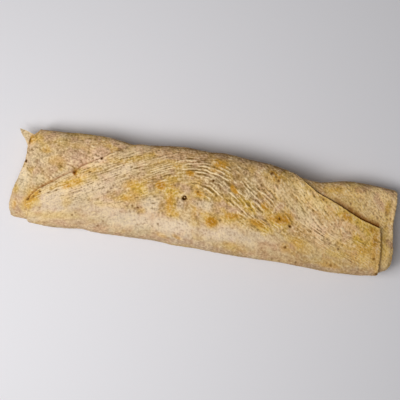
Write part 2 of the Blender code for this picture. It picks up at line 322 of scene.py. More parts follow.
def end_rows(end, fold):
    """Rows from the middle of an end out to the start of the outer turn's full thickness."""
    strip_start = END_TURNS[0][1] * MM
    strip_stop = FOLD_STEPS[0][0] * MM
    at_end = line_at(end, 0.0)
    at_fold = line_at(fold, FOLD_MIDDLE, strip_stop)
    rows = []
    deepest = END_TURNS[-1][0]
    for deep in deepest * np.linspace(1, 0, END_RINGS) ** 1.1:
        inset = curve_through(END_TURNS, deep) * MM
        rows.append((*row(at_end, lambda side: line_at(end, side, inset), 0.0, deep * MM), 0.0))
    for share in np.linspace(0, 1, STRIP_ROWS + 1)[1:]:
        rows.append((*row(
            mix(at_end, at_fold, share),
            lambda side: mix(line_at(end, side, strip_start), line_at(fold, side, strip_stop), share),
            0.0,
        ), 0.0))
    even = np.linspace(FOLD_STEPS[0][0], FOLD_STEPS[-1][0], len(FOLD_STEPS))
    for (inset, cover), plain in zip(FOLD_STEPS[1:], even[1:]):
        rows.append((*row(
            line_at(fold, FOLD_MIDDLE, plain * MM), lambda side: line_at(fold, side, inset * MM), cover,
            plain_line=lambda side: line_at(fold, side, plain * MM),
        ), cover))
    return rows


def all_rows():
    left = end_rows(LEFT_END, LEFT_FOLD)
    right = end_rows(RIGHT_END, RIGHT_FOLD)
    inset = FOLD_STEPS[-1][0] * MM
    left_start = line_at(LEFT_FOLD, FOLD_MIDDLE, inset)
    right_start = line_at(RIGHT_FOLD, FOLD_MIDDLE, inset)
    middle = []
    for share in np.linspace(0, 1, LENGTH_ROWS + 1)[1:-1]:
        middle.append((*row(
            mix(left_start, right_start, share),
            lambda side: mix(line_at(LEFT_FOLD, side, inset), line_at(RIGHT_FOLD, side, inset), share),
            1.0,
        ), 1.0))
    return [np.array(values) for values in zip(*(left + middle + right[::-1]))]


points, shares, edges, covers = all_rows()
rows, around, _ = points.shape
middle = (points.min(axis=(0, 1)) + points.max(axis=(0, 1))) / 2 * (1, 1, 0)
along, side, height = np.moveaxis(points, -1, 0)
shares_once = shares % 1
SHOWN_HALF = 0.27  # share of the way round, either side of the top, that has the marks
shown = (np.abs(shares_once - 0.5) < SHOWN_HALF).astype(float)

# The marks' places below are written as they show from straight above, from EYE: what is higher
# shows farther out. LOOK_LEVEL is the height at which they show where they are.
LOOK_LEVEL = 12 * MM
EYE = (-3.28 * MM, 0.54 * MM, 0.71)
MARKS_FROM = (1.03 * MM, 0.05 * MM)
spread = (EYE[2] - LOOK_LEVEL) / (EYE[2] - height)
seen_along = EYE[0] + (along - middle[0] - EYE[0]) * spread + MARKS_FROM[0]
seen_side = EYE[1] + (side - middle[1] - EYE[1]) * spread + MARKS_FROM[1]

# Toasted spots where the sheet touched the hot plate, on the shown side:
# (along, across, half length, half width) in millimetres, tilt in degrees, and how deeply toasted.
BLISTERS = ((6.3, -10.6, 3.1, 3.0, 0, 1.0), (-25.8, 5.0, 2.8, 2.3, 0, 1.0), (45.8, -2.7, 5.2, 2.6, 6, 0.95))
TOASTED = (
    (48.5, -0.5, 4.0, 3.4, 10, 0.5), (40.4, -2.6, 4.4, 2.0, 0, 0.6), (31.8, -7.0, 4.8, 2.1, -10, 0.75),
    (17.8, -5.4, 4.8, 1.7, 12, 0.8), (10.6, -7.6, 2.6, 1.6, 20, 0.1), (-19.0, -4.0, 1.9, 6.6, 6, 0.62),
    (-15.4, -9.6, 2.4, 1.4, 0, 0.4), (-19.0, 5.6, 2.0, 2.0, 0, 0.45), (-40.2, -1.0, 3.0, 5.4, 10, 0.26),
    (-43.0, 3.0, 4.4, 2.4, 20, 0.4), (-43.6, -5.4, 3.0, 2.0, 20, 0.5), (-39.0, 2.0, 2.2, 2.2, 0, 0.3),
    (-10.6, 14.8, 2.6, 1.6, -8, 0.95), (-17.8, 17.8, 3.0, 1.2, 10, 0.4), (5.8, 22.8, 4.4, 2.6, -10, 0.75),
    (-3.0, 4.0, 3.0, 1.5, -14, 0.8), (3.6, 19.6, 3.6, 2.6, 0, 0.48), (16.0, 9.8, 3.6, 1.4, -40, 0.85),
    (26.0, 1.4, 2.4, 1.2, -32, 0.25), (34.8, 3.0, 2.4, 1.6, -36, 0.85), (67.6, 12.8, 2.6, 1.2, -25, 0.36),
    (82.4, 5.4, 3.2, 1.9, -26, 0.85), (97.8, 0.0, 2.6, 1.8, -10, 0.66), (100.4, -5.6, 1.8, 4.8, 5, 0.7),
    (94.4, -11.5, 5.0, 2.4, -10, 0.46), (101.0, -13.0, 1.2, 4.0, 5, 0.5), (-103.4, 18.8, 2.3, 2.7, 30, 0.6),
    (-98.6, -18.4, 1.5, 2.4, 0, 0.4), (-98.2, -14.6, 4.0, 2.6, 52, 0.55), (-95.0, -11.0, 2.4, 1.3, 36, 0.6),
    (-73.8, -1.0, 3.2, 1.4, 10, 0.62), (-78.6, -4.0, 2.7, 1.8, 34, 0.74), (-75.2, 4.4, 1.3, 2.0, 0, 0.7),
    (-66.0, 7.2, 5.4, 1.2, 16, 0.34), (-87.0, 9.4, 4.6, 3.0, 10, 0.34), (-94.0, 14.2, 2.4, 1.6, 0, 0.4),
    (104.5, 14.0, 1.1, 3.2, 0, 0.5), (73.0, 19.4, 4.0, 1.3, 8, 0.52), (38.4, 20.6, 4.4, 2.4, -24, 0.3),
    (36.8, 22.7, 2.3, 0.8, -24, 0.9), (40.5, 19.8, 0.8, 2.0, 8, 0.85), (37.9, 19.8, 0.7, 1.6, 0, 0.6),
    (-106.8, -19.4, 1.2, 2.8, 0, 0.42), (-20.5, -23.0, 3.4, 1.2, -14, 0.34),
    (-12.0, -22.6, 3.0, 1.1, -20, 0.4), (19.0, -21.4, 4.4, 1.4, 0, 0.34), (50.0, -18.6, 2.4, 2.6, 0, 0.3),
    (57.0, -14.0, 3.4, 2.4, -10, 0.32), (76.0, -24.0, 5.4, 1.4, 0, 0.34), (-4.4, -7.0, 1.8, 3.6, 10, 0.34),
)
# Yellow patches where oil has soaked through from the filling, written the same way.
OILED = (
    (91.0, -8.0, 3.8, 2.2, -10, 1.0), (96.0, -10.0, 5.0, 5.4, 0, 0.7), (96.8, 0.0, 4.8, 4.4, 0, 1.0),
    (88.0, 4.6, 11.0, 2.8, -18, 1.0), (73.0, 5.0, 6.0, 3.4, -24, 0.3), (105.2, 13.6, 1.4, 4.0, 0, 0.8),
    (105.4, -7.0, 2.4, 8.0, 0, 0.8), (85.0, 8.6, 5.0, 1.8, -22, 0.6), (-25.0, 2.0, 4.0, 2.8, 0, 0.4),
    (-97.4, -15.0, 6.4, 3.8, 56, 1.0), (-107.4, -10.8, 1.4, 2.8, 0, 0.6), (-67.0, 7.0, 5.0, 1.6, 18, 0.35),
    (-22.0, 10.0, 6.0, 2.0, 10, 0.3), (-75.0, -1.8, 5.4, 2.4, 16, 0.75), (-73.6, 5.2, 1.5, 2.0, 0, 0.6),
    (-84.0, -22.0, 14.0, 2.0, 8, 0.4), (-78.0, -13.0, 2.2, 4.0, 0, 0.5), (-50.0, -10.4, 9.0, 1.4, 4, 0.35),
    (-19.0, 2.6, 4.4, 3.4, 0, 1.0), (-18.0, -4.0, 2.6, 6.0, 6, 0.7), (-38.4, 1.2, 4.6, 3.8, 0, 1.0),
    (-41.6, -4.6, 4.0, 3.4, 0, 0.5), (-16.4, -9.8, 4.4, 2.2, 0, 0.75), (6.4, -10.6, 4.6, 4.2, 0, 0.6),
    (-3.4, -12.6, 3.0, 2.4, 0, 0.4), (-2.6, 2.8, 4.4, 2.0, -10, 0.7), (17.0, -7.0, 6.0, 2.6, 10, 0.7),
    (16.0, 3.0, 5.0, 2.4, -30, 0.4), (36.0, -9.0, 6.0, 2.8, -16, 1.0), (44.8, -4.2, 7.0, 3.8, 0, 1.0),
    (37.4, -0.4, 4.0, 2.6, 0, 0.6), (25.8, 1.6, 5.4, 2.8, -32, 1.0), (69.4, 11.4, 6.0, 1.4, -25, 0.5),
    (56.6, -13.4, 6.0, 2.8, -10, 0.5), (82.0, -17.0, 8.0, 2.0, 8, 0.5), (22.0, -23.2, 10.0, 2.0, 0, 0.45),
    (76.0, -22.4, 14.0, 2.4, 2, 0.5), (95.0, -19.0, 8.0, 3.4, -8, 0.5), (-37.0, 19.6, 7.0, 2.0, 20, 0.4),
    (-18.0, 17.6, 6.0, 2.0, 6, 0.5), (10.8, 24.6, 6.0, 1.4, 0, 0.3), (72.4, 19.0, 6.0, 2.0, 8, 0.5),
    (50.0, 20.0, 10.0, 2.6, -16, 0.4), (34.0, 20.0, 5.0, 2.6, -10, 0.5), (28.0, -8.0, 8.0, 3.0, -8, 0.5),
    (-86.0, 20.0, 5.0, 3.0, 0, 0.4), (-94.0, 15.0, 4.0, 3.0, 0, 0.4), (-76.0, 26.0, 8.0, 2.0, 0, 0.5),
    (-16.0, 14.0, 4.0, 2.0, 0, 0.4), (85.0, -1.0, 3.0, 2.0, 0, 0.3),
)
# Patches with less red in them, pale and dull, written the same way.
DULL = (
    (26.0, 13.0, 3.0, 5.6, -10, 0.8), (53.0, 17.4, 7.0, 2.2, -4, 0.8), (56.0, 5.6, 6.4, 4.4, -24, 0.85),
    (-48.0, 20.0, 6.0, 3.2, 24, 0.9), (-94.0, 8.0, 9.0, 6.0, 0, 0.35), (76.5, -16.4, 6.0, 2.2, 0, 0.5),
    (-104.0, -5.0, 4.0, 8.0, 0, 0.9), (-82.0, 2.0, 6.0, 3.0, 24, 0.6), (-95.0, -3.0, 4.4, 4.0, 30, 0.9),
    (-66.0, 2.0, 6.0, 2.4, 24, 0.7), (-70.0, -22.0, 26.0, 3.0, 4, 0.6), (-32.0, -22.0, 12.0, 2.6, 0, 0.5),
    (85.0, 26.0, 6.0, 2.4, 0, 0.7), (15.0, -22.0, 8.0, 2.6, 0, 0.5), (-70.0, -10.0, 10.0, 3.0, 20, 0.5),
    (-60.0, 8.0, 9.0, 2.6, 30, 0.6), (-36.0, 12.0, 8.0, 3.0, 24, 0.5), (22.0, 17.0, 6.0, 3.0, -20, 0.5),
    (64.0, 10.0, 7.0, 3.4, -26, 0.9), (56.0, 14.0, 5.0, 3.0, -20, 0.8), (46.0, -11.0, 6.0, 3.0, -10, 0.5),
    (84.0, 15.0, 7.0, 3.0, -10, 0.4), (-8.0, 9.0, 5.0, 2.0, 0, 0.4), (2.0, -1.0, 5.0, 3.0, 0, 0.5),
    (80.0, -15.0, 6.0, 2.4, 0, 0.5), (40.0, -23.0, 8.0, 2.4, 0, 0.4), (-30.0, -3.0, 4.0, 4.0, 0, 0.4),
)
# Dry floury patches, paler and a little pink, written the same way.
FLOURY = (
    (-40.0, -17.2, 17.0, 4.6, 2, 0.85), (-16.0, -17.0, 15.0, 4.8, 0, 0.95),
    (14.0, -16.6, 16.0, 4.4, 0, 0.85), (38.0, -14.0, 11.0, 3.4, -6, 0.5),
    (-84.0, -14.0, 18.0, 7.0, 10, 0.75), (-64.0, -3.6, 18.0, 5.0, 24, 0.6),
    (-56.0, -14.0, 13.0, 5.4, 10, 0.65), (-50.0, 9.0, 10.0, 3.0, 34, 0.6), (-29.6, -6.6, 4.6, 4.6, 0, 0.9),
    (-105.0, -4.0, 3.2, 7.0, 0, 1.0), (-96.0, -3.6, 4.4, 3.0, 36, 0.4), (-93.0, 12.0, 8.0, 5.0, 20, 0.4),
    (-102.0, 9.0, 4.0, 7.0, 0, 0.4), (1.6, -2.0, 4.6, 3.2, 0, 0.75), (-13.0, -4.0, 2.2, 3.6, 0, 0.6),
    (62.0, 0.0, 9.0, 5.0, -30, 0.4), (75.0, -10.0, 5.0, 3.4, -10, 0.5), (-65.0, 14.0, 5.0, 3.0, 24, 0.5),
    (65.0, 8.0, 5.0, 3.0, -26, 0.5), (67.0, -12.0, 7.0, 4.0, -10, 0.35), (55.0, 14.0, 5.0, 3.0, -20, 0.4),
    (78.0, -18.0, 5.0, 1.8, 10, 0.5), (-81.0, 2.4, 6.0, 2.0, 24, 0.6), (-74.6, -6.0, 3.6, 3.0, 0, 0.5),
    (44.0, -11.8, 5.0, 1.4, -14, 0.3), (92.0, -21.0, 9.0, 2.4, -10, 0.2), (76.0, 9.0, 14.0, 1.2, -24, 0.5),
    (54.0, 5.0, 3.0, 3.0, 0, 0.4),
)
# Patches where the bread is a darker, pinker brown, written the same way.
RUDDY = (
    (-75.0, 13.0, 7.0, 4.4, 16, 0.95), (-89.6, 17.0, 3.4, 1.6, 0, 0.8), (-75.4, 8.8, 2.4, 1.6, 0, 0.7),
    (-66.0, 19.0, 14.0, 3.4, 0, 0.5), (16.0, -1.0, 2.8, 1.8, 0, 0.7), (74.6, -3.4, 4.4, 4.0, -30, 0.35),
    (-90.0, 0.6, 4.0, 3.0, -30, 0.4), (-76.0, -7.4, 2.4, 2.6, 0, 0.4), (-12.0, 23.0, 12.0, 2.6, 0, 0.4),
    (4.0, 26.0, 30.0, 2.4, 0, 0.5), (48.0, -19.0, 5.0, 3.0, 0, 0.4), (88.0, -21.0, 7.0, 2.4, 0, 0.3),
    (-70.0, -24.0, 16.0, 2.0, 4, 0.5), (4.0, -24.6, 26.0, 2.0, 0, 0.45), (72.0, -24.6, 26.0, 2.2, 2, 0.5),
    (78.0, 17.6, 8.0, 2.6, -10, 0.3), (85.0, 9.6, 9.0, 1.2, -24, 0.6), (-54.0, 24.0, 6.0, 1.4, 0, 0.5),
    (-106.0, -15.0, 2.6, 3.0, 0, 0.4), (50.0, 21.0, 8.0, 1.6, -10, 0.4), (-30.0, 24.0, 14.0, 2.2, 2, 0.35),
)
# Lighter and darker patches, partly baked in and partly painted light and shade, written the same way.
LIGHTER = (
    (-66.0, 12.0, 7.0, 6.0, 40, 1.0), (-72.0, 2.4, 8.0, 3.4, 24, 1.0), (-95.0, -4.0, 4.4, 3.4, 36, 0.3),
    (-54.0, -10.0, 7.0, 3.4, 10, 0.6), (-50.0, 26.0, 18.0, 3.4, 0, 0.8), (-104.0, 21.0, 4.0, 4.0, 0, 0.8),
    (-105.0, 1.0, 3.0, 5.0, 0, 0.7), (5.0, -4.0, 6.0, 3.0, 0, 0.6), (-40.0, 0.0, 4.0, 4.0, 0, 0.4),
    (10.8, -7.8, 2.0, 2.0, 0, 0.8), (62.0, 10.0, 11.0, 6.4, -26, 1.0), (56.0, 20.0, 8.0, 4.0, -20, 0.8),
    (70.0, -7.0, 12.0, 6.0, -16, 0.9), (94.0, -6.0, 7.0, 6.4, 0, 1.0), (103.0, 20.0, 6.0, 10.0, 0, 0.9),
    (100.0, -7.0, 3.0, 8.0, 4, 0.7), (106.2, -8.0, 2.4, 14.0, 4, 0.7), (-5.0, 8.0, 5.0, 3.4, 0, 0.6),
    (36.0, 14.0, 6.0, 4.0, -20, 0.5), (-85.0, -22.0, 7.0, 3.0, 0, 0.3), (84.0, 0.6, 7.0, 3.4, -14, 0.7),
    (88.0, 4.0, 12.0, 2.6, -18, 1.0), (70.0, 11.0, 8.0, 2.4, -26, 0.5), (98.0, -16.0, 8.0, 4.0, 0, 0.7),
    (38.0, 2.0, 6.0, 3.0, -20, 0.4), (14.0, -10.0, 7.0, 2.4, 0, 0.5), (-64.0, 0.0, 7.0, 3.0, 20, 0.6),
    (84.0, 19.0, 6.0, 3.0, 0, 0.6), (-96.0, 25.0, 7.0, 3.0, 0, 0.5), (73.0, 20.0, 6.0, 3.0, -20, 0.7),
    (65.0, 14.0, 5.0, 2.4, -24, 0.6), (102.0, 25.0, 8.0, 4.0, 0, 1.0), (105.0, 8.0, 3.0, 5.0, 0, 0.6),
)
DARKER = (
    (6.0, 18.0, 7.0, 12.0, -10, 1.0), (16.0, 8.0, 12.0, 4.4, -32, 0.8), (25.0, 7.0, 7.0, 4.4, -34, 1.0),
    (-15.0, 14.0, 5.0, 3.4, 0, 0.5), (-26.0, 2.0, 5.0, 3.4, 0, 0.4), (-35.0, -4.0, 4.0, 3.4, 0, 0.4),
    (66.0, -23.0, 9.0, 3.4, 0, 0.7), (88.0, -22.6, 10.0, 3.4, 0, 0.35), (10.0, -23.6, 60.0, 2.8, 0, 0.25),
    (77.0, 14.0, 5.0, 3.0, -20, 0.3), (74.0, 25.0, 6.0, 3.0, 0, 0.45), (-45.0, -16.0, 7.0, 3.0, 0, 0.35),
    (-85.0, 23.0, 6.0, 6.0, 0, 0.3), (105.0, 1.0, 2.0, 3.6, 0, 0.3), (-105.0, -22.0, 3.0, 3.0, 0, 0.4),
    (30.0, -16.0, 10.0, 3.0, 0, 0.3), (-72.0, -15.0, 16.0, 3.4, 6, 0.35), (-95.0, 8.0, 6.0, 4.0, 0, 0.4),
    (75.0, -10.0, 5.0, 4.0, 0, 0.5), (-64.0, 7.0, 5.0, 3.0, 20, 0.5), (5.0, 9.0, 6.0, 3.0, -20, 0.5),
    (5.0, 20.0, 5.0, 4.0, 0, 1.0), (35.0, 2.0, 4.0, 3.0, 0, 0.4),
)
# Dark dots: (along, across, radius) in millimetres, and how dark.
SCORCHED = (
    (-75.7, 6.0, 0.7, 0.3), (-75.6, 4.8, 0.75, 0.4), (-75.4, 3.7, 0.6, 0.3), (-104.5, 20.3, 0.5, 0.5),
    (-104.3, 18.9, 0.65, 0.62), (-104.2, 17.6, 0.65, 0.6), (-104.1, 16.3, 0.5, 0.5),
    (-61.8, 14.6, 0.7, 0.88), (-104.4, 6.0, 0.6, 1.0), (51.0, -5.7, 0.65, 1.0), (44.4, -2.4, 0.6, 0.9),
    (35.7, 22.4, 0.9, 0.7), (38.4, 20.8, 0.6, 0.5), (40.2, 18.9, 0.6, 0.8), (-42.8, -10.0, 0.6, 0.5),
    (-40.0, -9.2, 0.55, 0.6), (-38.4, -10.4, 0.55, 0.55), (-36.8, -9.6, 0.6, 0.7), (-40.8, -12.8, 0.5, 0.4),
    (-36.0, -13.0, 0.5, 0.4), (-92.6, -7.4, 0.6, 0.3), (-93.6, -10.0, 0.6, 0.7), (-99.8, -15.4, 0.8, 0.5),
    (-96.6, -13.4, 0.6, 0.5), (-23.8, -17.0, 0.55, 0.5), (50.3, -18.0, 0.75, 0.7), (-31.2, -15.8, 0.5, 0.3),
    (-73.0, -20.2, 0.6, 0.5), (-71.6, -18.6, 0.5, 0.4), (-55.0, -3.4, 0.7, 0.4), (-53.6, -1.4, 0.6, 0.4),
    (104.3, -24.4, 0.6, 0.7), (101.6, -16.0, 0.7, 0.5), (100.4, -6.4, 0.6, 0.3), (75.2, -11.4, 0.6, 0.5),
    (79.6, -10.2, 0.5, 0.4), (80.4, -13.8, 0.6, 0.6), (78.6, -11.8, 0.5, 0.5), (57.6, -25.4, 0.6, 0.5),
    (44.0, -25.8, 0.6, 0.4), (78.0, -23.9, 0.7, 0.5), (-57.6, -23.8, 0.7, 0.4), (-55.0, -20.6, 0.5, 0.4),
    (3.4, 12.8, 0.7, 0.8), (8.2, 9.0, 0.6, 0.6), (6.8, 10.8, 0.5, 0.4), (1.6, 11.6, 0.5, 0.4),
    (-4.2, 5.0, 0.6, 0.7), (17.4, 17.8, 0.6, 0.5), (24.6, 8.4, 0.5, 0.4), (-26.4, 9.2, 0.6, 0.5),
    (-31.2, 6.8, 0.6, 0.4), (-33.0, 5.6, 0.5, 0.4), (-25.6, 1.2, 0.6, 0.4), (-24.6, -10.4, 0.5, 0.4),
    (-22.2, -10.2, 0.6, 0.5), (-77.8, 16.4, 0.6, 0.5), (-84.0, 14.6, 0.5, 0.4), (-98.4, 7.4, 0.8, 0.3),
    (-58.0, 11.6, 0.7, 0.4), (-67.4, 5.8, 0.6, 0.5), (-94.4, 14.0, 0.7, 0.4), (-52.6, 21.4, 1.0, 0.5),
    (-26.8, -18.8, 0.5, 0.4), (16.8, -21.2, 0.6, 0.4), (-12.6, -22.0, 0.7, 0.4), (67.6, 12.6, 0.6, 0.6),
    (86.0, -3.6, 0.6, 0.3), (37.0, -20.6, 0.5, 0.3), (31.0, 15.2, 0.5, 0.4), (-35.0, 24.6, 0.5, 0.3),
)
BURNT_HOLE = (-11.3, 0.1, 1.35)  # (along, across, radius) in millimetres
FLAKE = (-11.4, 0.6, 0.5)  # what is left of the sheet in it, written the same way
# Where the sheet is creased most: (along, across, half length, half width) in millimetres, tilt in
# degrees, and how strongly.
CREASED = (
    (22.0, 7.0, 16.0, 7.0, -38, 0.9), (-3.0, 17.5, 18.0, 5.4, -6, 1.0), (2.0, 7.5, 9.0, 3.6, -24, 0.9),
    (-27.0, 13.0, 15.0, 7.0, 22, 0.6), (60.0, 2.0, 24.0, 12.0, -34, 0.26),
    (38.0, 7.0, 11.0, 6.0, -34, 0.55), (-74.0, 0.0, 24.0, 9.0, 28, 0.35),
    (-50.0, 10.0, 16.0, 8.0, 30, 0.45), (66.0, -6.0, 10.0, 4.0, -42, 0.6),
    (90.0, -18.0, 10.0, 3.0, -16, 0.4), (22.0, -2.0, 5.0, 2.0, -44, 0.7), (28.0, 12.0, 10.0, 4.0, -30, 0.5),
)
ragged_edge = 0.3 * rough(points, 4 * MM, 11) + 0.2 * rough(points, 1.7 * MM, 17)  # for every patch


def away_from(x, y):
    """How far each point shows from a place written in millimetres."""
    return np.hypot(seen_along - x * MM, seen_side - y * MM)


def patches(table, softness, raggedness=1.0):
    """The strongest of the table's patches at each point of the shown side, 0 to 1."""
    ragged = 1 + raggedness * ragged_edge
    total = np.zeros((rows, around))
    for x, y, length, width, tilt, depth in table:
        dx, dy = seen_along - x * MM, seen_side - y * MM
        turn = np.radians(tilt)
        u = (dx * np.cos(turn) + dy * np.sin(turn)) / (length * MM)
        v = (dy * np.cos(turn) - dx * np.sin(turn)) / (width * MM)
        away = np.sqrt(u * u + v * v)
        total = np.maximum(total, depth * ease((1 + softness - away * ragged) / (2 * softness)))
    return total * shown


def specks(table):
    """The darkest of the table's dots at each point of the shown side, 0 to 1."""
    total = np.zeros((rows, around))
    for x, y, radius, dark in table:
        total = np.maximum(total, dark * step(away_from(x, y), 1.6 * radius, -0.8 * radius))
    return total * shown


off_floor = ease((np.abs((shares + 0.5) % 1 - 0.5) - FLAT_END) / 0.05)
lip_thick = np.array(LIP)[:, 2]
in_gap = np.zeros(around)
in_gap[:len(LIP)] = lip_thick == 0
in_gap[-len(FLOOR):] = 1
open_air = (1 - in_gap)[None, :] * off_floor
toast = np.maximum(patches(TOASTED, 0.6, 0.5), patches(BLISTERS, 0.5, 0.3))
oil = patches(OILED, 0.7)
flour = patches(FLOURY, 0.6)
ruddy = patches(RUDDY, 0.7)
dull = patches(DULL, 0.7)
bake_tone_and_painted_light = patches(LIGHTER, 0.9) - patches(DARKER, 0.9)
scorch = specks(SCORCHED)

# The grain: short dry wrinkles drawn out along the creases, with pebbles between them. Its places
# follow the creases' arches, and the ply under the outer turn has a grain of its own.
ARCH_LEAN = 0.48  # how far the arches' crest moves along for each step towards the back
ARCH_SLOPES = (0.75, 0.58)  # left of the crest and right of it
FRONT_ROUND, FRONT_SLOPE = 48.0 * MM, 1.1  # the arches' bend, and their left slope, along the front
INNER_SLOPES = (0.28, 0.7)  # the inner turn's grain, at the left end and at the right
outer_turn = covers[:, None] > 0
off_front = step(side, -26, 24)
bend = along - CREASE_RIDGE - ARCH_LEAN * side
bend_round = mix(FRONT_ROUND, CREASE_ROUND, off_front)
left_slope = mix(FRONT_SLOPE, ARCH_SLOPES[0], off_front)
arch = np.where(bend < 0, left_slope, ARCH_SLOPES[1]) * (np.hypot(bend, bend_round) - bend_round)
inner_ply = np.where(outer_turn, ease((shares - 1 + FLAT_END) / (2 * FLAT_END)), 1)
arch = mix(arch, mix(*INNER_SLOPES, step(along, -40, 80)) * along, inner_ply)
flow = np.stack([along, side + arch, height + 40 * MM * inner_ply], axis=-1)

# Dividing flow by a larger first number draws the noise out along the creases.
wrinkle = rough(flow / (3.6, 1.2, 1.2), MM, 3, 2)
pebble = rough(flow, 1.5 * MM, 5, 2)
lump = rough(flow / (1.6, 1, 1), 5.5 * MM, 9)
smooth = step(seen_side, -9, -6) * shown  # the front is the smoothest

# The fine creases wander and break off, and show where the sheet is creased most.
FINE_PITCH = 1.95 * MM  # from one fine crease to the next
creased = patches(CREASED, 0.8)
wander = 0.5 * rough(flow / (14, 6, 6), MM, 21) + 0.16 * rough(flow / (4, 2.2, 2.2), MM, 31)
crease_count = flow[..., 1] / FINE_PITCH + wander
broken = ease(0.6 + 1.3 * rough(flow / (6.5, 1.9, 1.9), MM, 27))
crease_share = broken * creased
crease = ((0.5 + 0.5 * np.cos(2 * np.pi * crease_count)) ** 1.5 - 0.42) * crease_share

# The burnt hole has a ragged edge, and the flake in it stands as high as the bread round it.
hole_edge = BURNT_HOLE[2] * (1 + 0.25 * rough(points, 1.6 * MM, 51))
hole = step(away_from(*BURNT_HOLE[:2]), hole_edge + 0.3, -0.5) * shown
hole = hole * step(away_from(*FLAKE[:2]), FLAKE[2] - 0.3, 0.4)

# The loose edge and the nick in it. Where the edge stands up, its rim is pale.
past_edge = (shares - edges[:, None]) * GIRTH
flap = step(along, FLAP_FROM, FLAP_OVER)
rim = step(past_edge, 1.3, -0.8) * mix(0.15, 1, flap) * outer_turn * (shares < 1)
nicked = ease(1.5 - np.hypot((along / MM - NICK[0]) / 1.1, (past_edge / MM - 0.2) / 1.2)) * (shares < 1)

# Painted shade in the gap under the loose edge: darkest at the edge, with a softer band behind it on the far
# right. The right fold has painted shade too, on the strip of inner turn beside it.
behind = np.abs(past_edge - GIRTH)
raised = mix(0.55, 1, flap) * outer_turn
band = mix(0.12, 0.75, step(along, 68, 8))
core = mix(2.0, 1.9, step(along, 80, 8))
painted_gap_shade = raised * np.maximum(step(behind, core, -1), band * step(behind, 5, -4))
painted_gap_shade[:, :len(LIP)] = raised[:, :len(LIP)] * ease((0.94 - lip_thick) / 0.5)
fold_away = line_at(RIGHT_FOLD, side) - along
on_strip = (along > 0) * (covers[:, None] < 0.6) * (past_edge > -0.5 * MM) * (shares < 1)
painted_gap_shade = np.maximum(painted_gap_shade, 0.4 * step(fold_away, -1.5, 1) * on_strip)
# Painted highlight on the outer turn beside the right fold, where its rounded crease catches the light.
painted_fold_highlight = step(fold_away, 4, -3) * outer_turn * (shares < 1)

# How far each stands off the surface or goes into it, in millimetres.
WRINKLE_RISE, PEBBLE_RISE, LUMP_RISE, CREASE_RISE, BLISTER_RISE = 0.10, 0.10, 0.14, 0.48, 0.14
SCORCH_DEPTH, HOLE_DEPTH = 0.22, 0.7
relief = MM * open_air * (
    WRINKLE_RISE * wrinkle + PEBBLE_RISE * pebble + LUMP_RISE * lump + CREASE_RISE * crease
    + BLISTER_RISE * ease(toast * 1.3) - SCORCH_DEPTH * scorch - HOLE_DEPTH * hole
)

# The right of the roll and its back are more golden, and the left, the front's two ends and the far
# left are more ashen (below 0).
golden = step(seen_along, 25, 60) * (1 - 0.7 * step(np.abs(seen_side + 3 * MM), 11, -8))
golden = golden * (1 - 0.8 * step(seen_side, 4, 6) * step(seen_along, 84, 12))
golden = golden + 0.5 * step(seen_side, 20, 5) * step(np.abs(seen_along), 60, -40)
golden = golden - 0.6 * step(seen_along, -25, -40)
golden = golden - 0.9 * step(seen_side, -18, -5) * step(np.abs(seen_along - 46 * MM), 12, 8)
golden = golden - 0.9 * step(seen_along, -90, -6) * step(np.abs(seen_side + 4 * MM), 12.5, -5)

# The front is paler and drier than the top. The inner turn at the right end has painted light, a paler
# cream for the light it catches, and the back, low down, has painted shade, a browner band.
pale = 0.5 * step(side, -8, -10) * (0.75 + 0.5 * rough(flow / (3, 1.5, 1.5), 5 * MM, 41))
painted_light_inner_end = inner_ply * shown * step(seen_along, 62, 16)
painted_back_shade = ease((shares_once - 0.2) / 0.03) * ease((0.312 - shares_once) / 0.02) * step(along, -66, 20)
painted_back_shade = painted_back_shade * np.clip(0.8 + 0.4 * rough(points, 5 * MM, 61), 0, 1)

# Stand the relief off the surface, along its own direction outwards.
step_along = np.gradient(points, axis=0)
step_round = np.gradient(points, axis=1)
outwards = np.cross(step_round, step_along)
outwards /= np.maximum(np.linalg.norm(outwards, axis=-1, keepdims=True), 1e-12)
if (outwards[rows // 2, around // 3] * (points[rows // 2, around // 3] - [0, 0, 0.01])).sum() < 0:
    outwards = -outwards
points = points + outwards * relief[..., None]

# The wrap keeps the exact width, height and right end of its solid, and is as long to the left.
box_low, box_high = np.array(cad_box[0]), np.array(cad_box[1])
points = points - middle
low, high = points.min(axis=(0, 1)), points.max(axis=(0, 1))
fit_low = np.array([-box_high[0], box_low[1], box_low[2]])
points = fit_low + (points - low) / (high - low) * (box_high - fit_low)

MASKS = {
    "toast": toast, "oil": oil, "flour": flour, "scorch": np.maximum(scorch, hole), "nick": nicked,
    "crease_count": crease_count, "crease_share": crease_share, "creased": creased, "smooth": smooth,
    "wrinkle": wrinkle, "pebble": pebble, "lump": lump, "rim": rim, "painted_fold_highlight": painted_fold_highlight,
    "gap": painted_gap_shade, "pale": pale, "ruddy": ruddy, "dull": dull, "painted_light_inner_end": painted_light_inner_end,
    "painted_back_shade": painted_back_shade, "bake_tone_and_painted_light": bake_tone_and_painted_light, "golden": golden,
}

